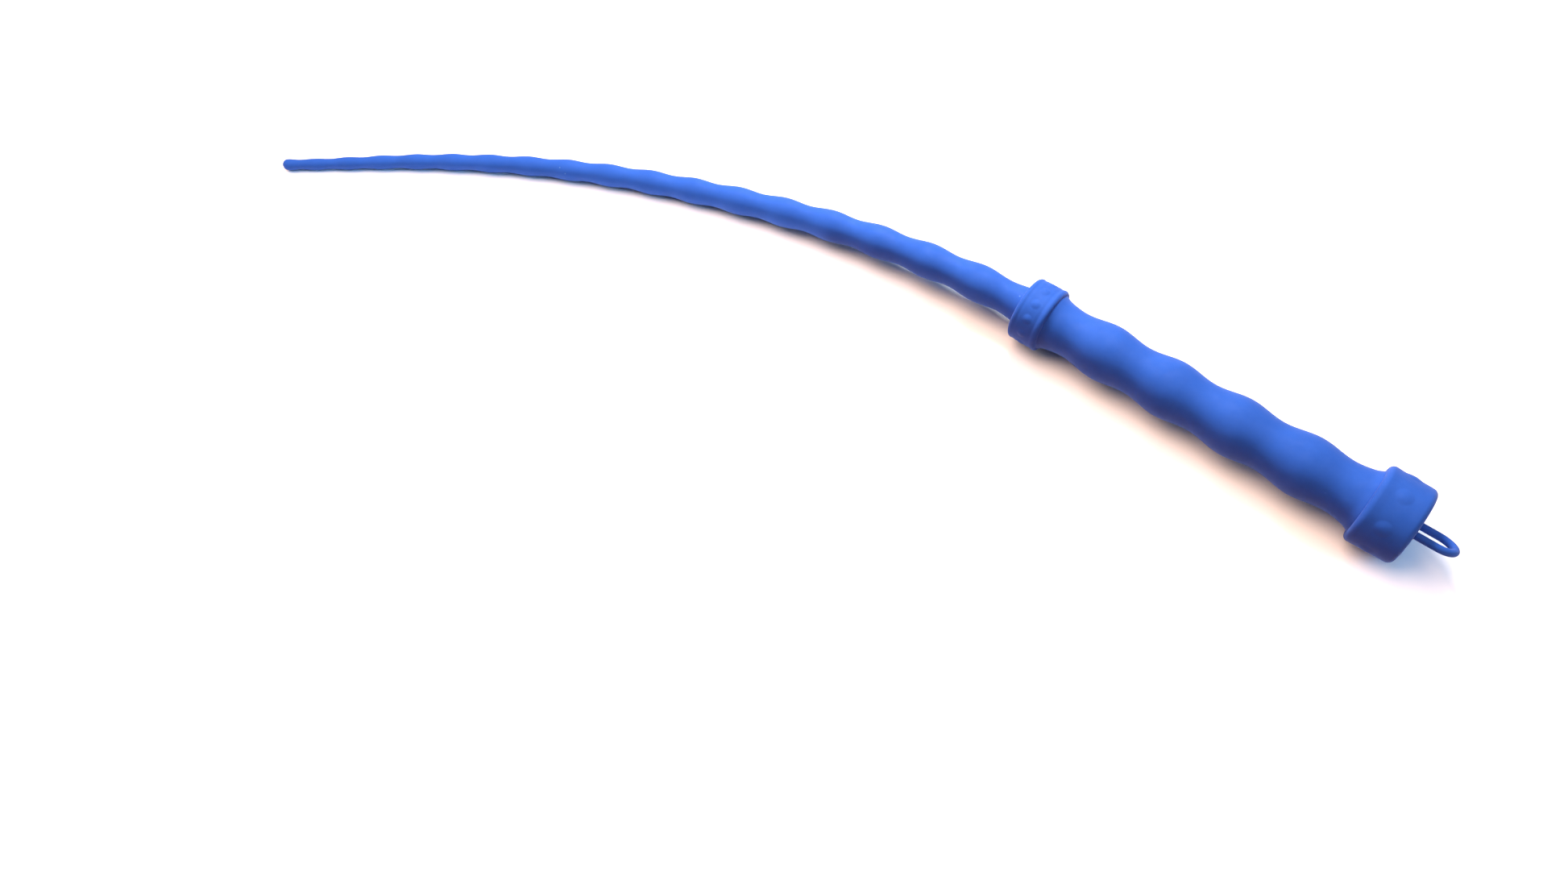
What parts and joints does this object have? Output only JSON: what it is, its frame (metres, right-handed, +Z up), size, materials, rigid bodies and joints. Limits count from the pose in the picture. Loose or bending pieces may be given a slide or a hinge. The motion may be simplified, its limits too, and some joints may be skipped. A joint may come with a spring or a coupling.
{
  "type": "flexible silicone stick",
  "caption": "One-hand flexible stick: rippled silicone grip between a studded collar and pommel, a long wavy tapering shaft that curves to one side, and a hang loop.",
  "frame": {"origin": "on the floor plane, under the middle of the whole stick's box, with the stick lying at rest", "axes": "+X along the grip towards the pommel and its loop, +Z up from the floor, and the shaft's tip curves towards -X and -Y"},
  "size_m": [0.5754, 0.1754, 0.0381],
  "materials": {
    "shaft_silicone": "matte soft-touch moulded silicone",
    "grip_silicone": "matte soft-touch moulded silicone",
    "collar_silicone": "matte soft-touch moulded silicone",
    "pommel_silicone": "matte soft-touch moulded silicone",
    "loop_silicone": "matte soft-touch moulded silicone",
    "core_rod": "ground fibreglass rod",
    "aluminium_tube": "drawn",
    "brass": "turned",
    "nylon": "moulded nylon",
    "steel": "ground"
  },
  "bodies": {
    "handle": {"shaft_skin_root": "shaft_silicone", "core_rod_root": "core_rod", "rod_ferrule": "brass", "handle_tube": "aluminium_tube", "grip_sleeve": "grip_silicone", "front_collar": "collar_silicone", "loop_pin": "steel", "loop_tail": "loop_silicone", "end_plug": "nylon", "pommel": "pommel_silicone"},
    "link_01": {"shaft_skin_01": "shaft_silicone", "core_rod_01": "core_rod"},
    "link_02": {"shaft_skin_02": "shaft_silicone", "core_rod_02": "core_rod"},
    "link_03": {"shaft_skin_03": "shaft_silicone", "core_rod_03": "core_rod"},
    "link_04": {"shaft_skin_04": "shaft_silicone", "core_rod_04": "core_rod"},
    "link_05": {"shaft_skin_05": "shaft_silicone", "core_rod_05": "core_rod"},
    "link_06": {"shaft_skin_06": "shaft_silicone", "core_rod_06": "core_rod"},
    "link_07": {"shaft_skin_07": "shaft_silicone", "core_rod_07": "core_rod"},
    "link_08": {"shaft_skin_08": "shaft_silicone", "core_rod_08": "core_rod"},
    "link_09": {"shaft_skin_09": "shaft_silicone", "core_rod_09": "core_rod"},
    "link_10": {"shaft_skin_10": "shaft_silicone", "core_rod_10": "core_rod"},
    "link_11": {"shaft_skin_11": "shaft_silicone", "core_rod_11": "core_rod"},
    "link_12": {"shaft_skin_12": "shaft_silicone", "core_rod_12": "core_rod"},
    "loop": {"hang_loop": "loop_silicone"}
  },
  "joints": [
    {"name": "shaft_side_1", "type": "hinge", "parent": "handle", "child": "link_01", "pos_m": [0.06316, 0.06832, 0.01572], "axis": [0, 0, 1], "range_deg": [-6, 6], "stiffness_Nm_per_rad": 8},
    {"name": "shaft_lift_1", "type": "hinge", "parent": "link_01", "child": "link_02", "pos_m": [0.03491, 0.06629, 0.01472], "axis": [-0.1256, 0.9921, 0], "range_deg": [0, 6], "stiffness_Nm_per_rad": 8},
    {"name": "shaft_side_2", "type": "hinge", "parent": "link_02", "child": "link_03", "pos_m": [0.00754, 0.06283, 0.01327], "axis": [0, 0, 1], "range_deg": [-7.2, 7.2]},
    {"name": "shaft_lift_2", "type": "hinge", "parent": "link_03", "child": "link_04", "pos_m": [-0.01891, 0.05805, 0.0116], "axis": [-0.2279, 0.9737, 0], "range_deg": [0, 7.2]},
    {"name": "shaft_side_3", "type": "hinge", "parent": "link_04", "child": "link_05", "pos_m": [-0.04437, 0.05209, 0.00993], "axis": [0, 0, 1], "range_deg": [-8.4, 8.4]},
    {"name": "shaft_lift_3", "type": "hinge", "parent": "link_05", "child": "link_06", "pos_m": [-0.0688, 0.04507, 0.00842], "axis": [-0.3225, 0.9466, 0], "range_deg": [0, 8.4]},
    {"name": "shaft_side_4", "type": "hinge", "parent": "link_06", "child": "link_07", "pos_m": [-0.09218, 0.0371, 0.00723], "axis": [0, 0, 1], "range_deg": [-9.6, 9.6]},
    {"name": "shaft_lift_4", "type": "hinge", "parent": "link_07", "child": "link_08", "pos_m": [-0.11449, 0.02831, 0.00647], "axis": [-0.4088, 0.9126, 0], "range_deg": [0, 9.6]},
    {"name": "shaft_side_5", "type": "hinge", "parent": "link_08", "child": "link_09", "pos_m": [-0.13571, 0.0188, 0.00606], "axis": [0, 0, 1], "range_deg": [-10.8, 10.8]},
    {"name": "shaft_lift_5", "type": "hinge", "parent": "link_09", "child": "link_10", "pos_m": [-0.17488, -0.00192, 0.00527], "axis": [-0.5393, 0.8421, 0], "range_deg": [0, 10.8]},
    {"name": "shaft_side_6", "type": "hinge", "parent": "link_10", "child": "link_11", "pos_m": [-0.20977, -0.02426, 0.00451], "axis": [0, 0, 1], "range_deg": [-12, 12]},
    {"name": "shaft_lift_6", "type": "hinge", "parent": "link_11", "child": "link_12", "pos_m": [-0.24052, -0.04749, 0.00379], "axis": [-0.6445, 0.7646, 0], "range_deg": [0, 12]},
    {"name": "loop_swing", "type": "hinge", "parent": "handle", "child": "loop", "pos_m": [0.26944, 0.06866, 0.01928], "axis": [0.0099, 0.8192, -0.5735], "range_deg": [-55, 55], "stiffness_Nm_per_rad": 0.003}
  ],
  "couplings": [
    {"joint": "shaft_side_2", "follows": "shaft_side_1", "ratio": 1.2},
    {"joint": "shaft_lift_2", "follows": "shaft_lift_1", "ratio": 1.2},
    {"joint": "shaft_side_3", "follows": "shaft_side_1", "ratio": 1.4},
    {"joint": "shaft_lift_3", "follows": "shaft_lift_1", "ratio": 1.4},
    {"joint": "shaft_side_4", "follows": "shaft_side_1", "ratio": 1.6},
    {"joint": "shaft_lift_4", "follows": "shaft_lift_1", "ratio": 1.6},
    {"joint": "shaft_side_5", "follows": "shaft_side_1", "ratio": 1.8},
    {"joint": "shaft_lift_5", "follows": "shaft_lift_1", "ratio": 1.8},
    {"joint": "shaft_side_6", "follows": "shaft_side_1", "ratio": 2},
    {"joint": "shaft_lift_6", "follows": "shaft_lift_1", "ratio": 2}
  ]
}
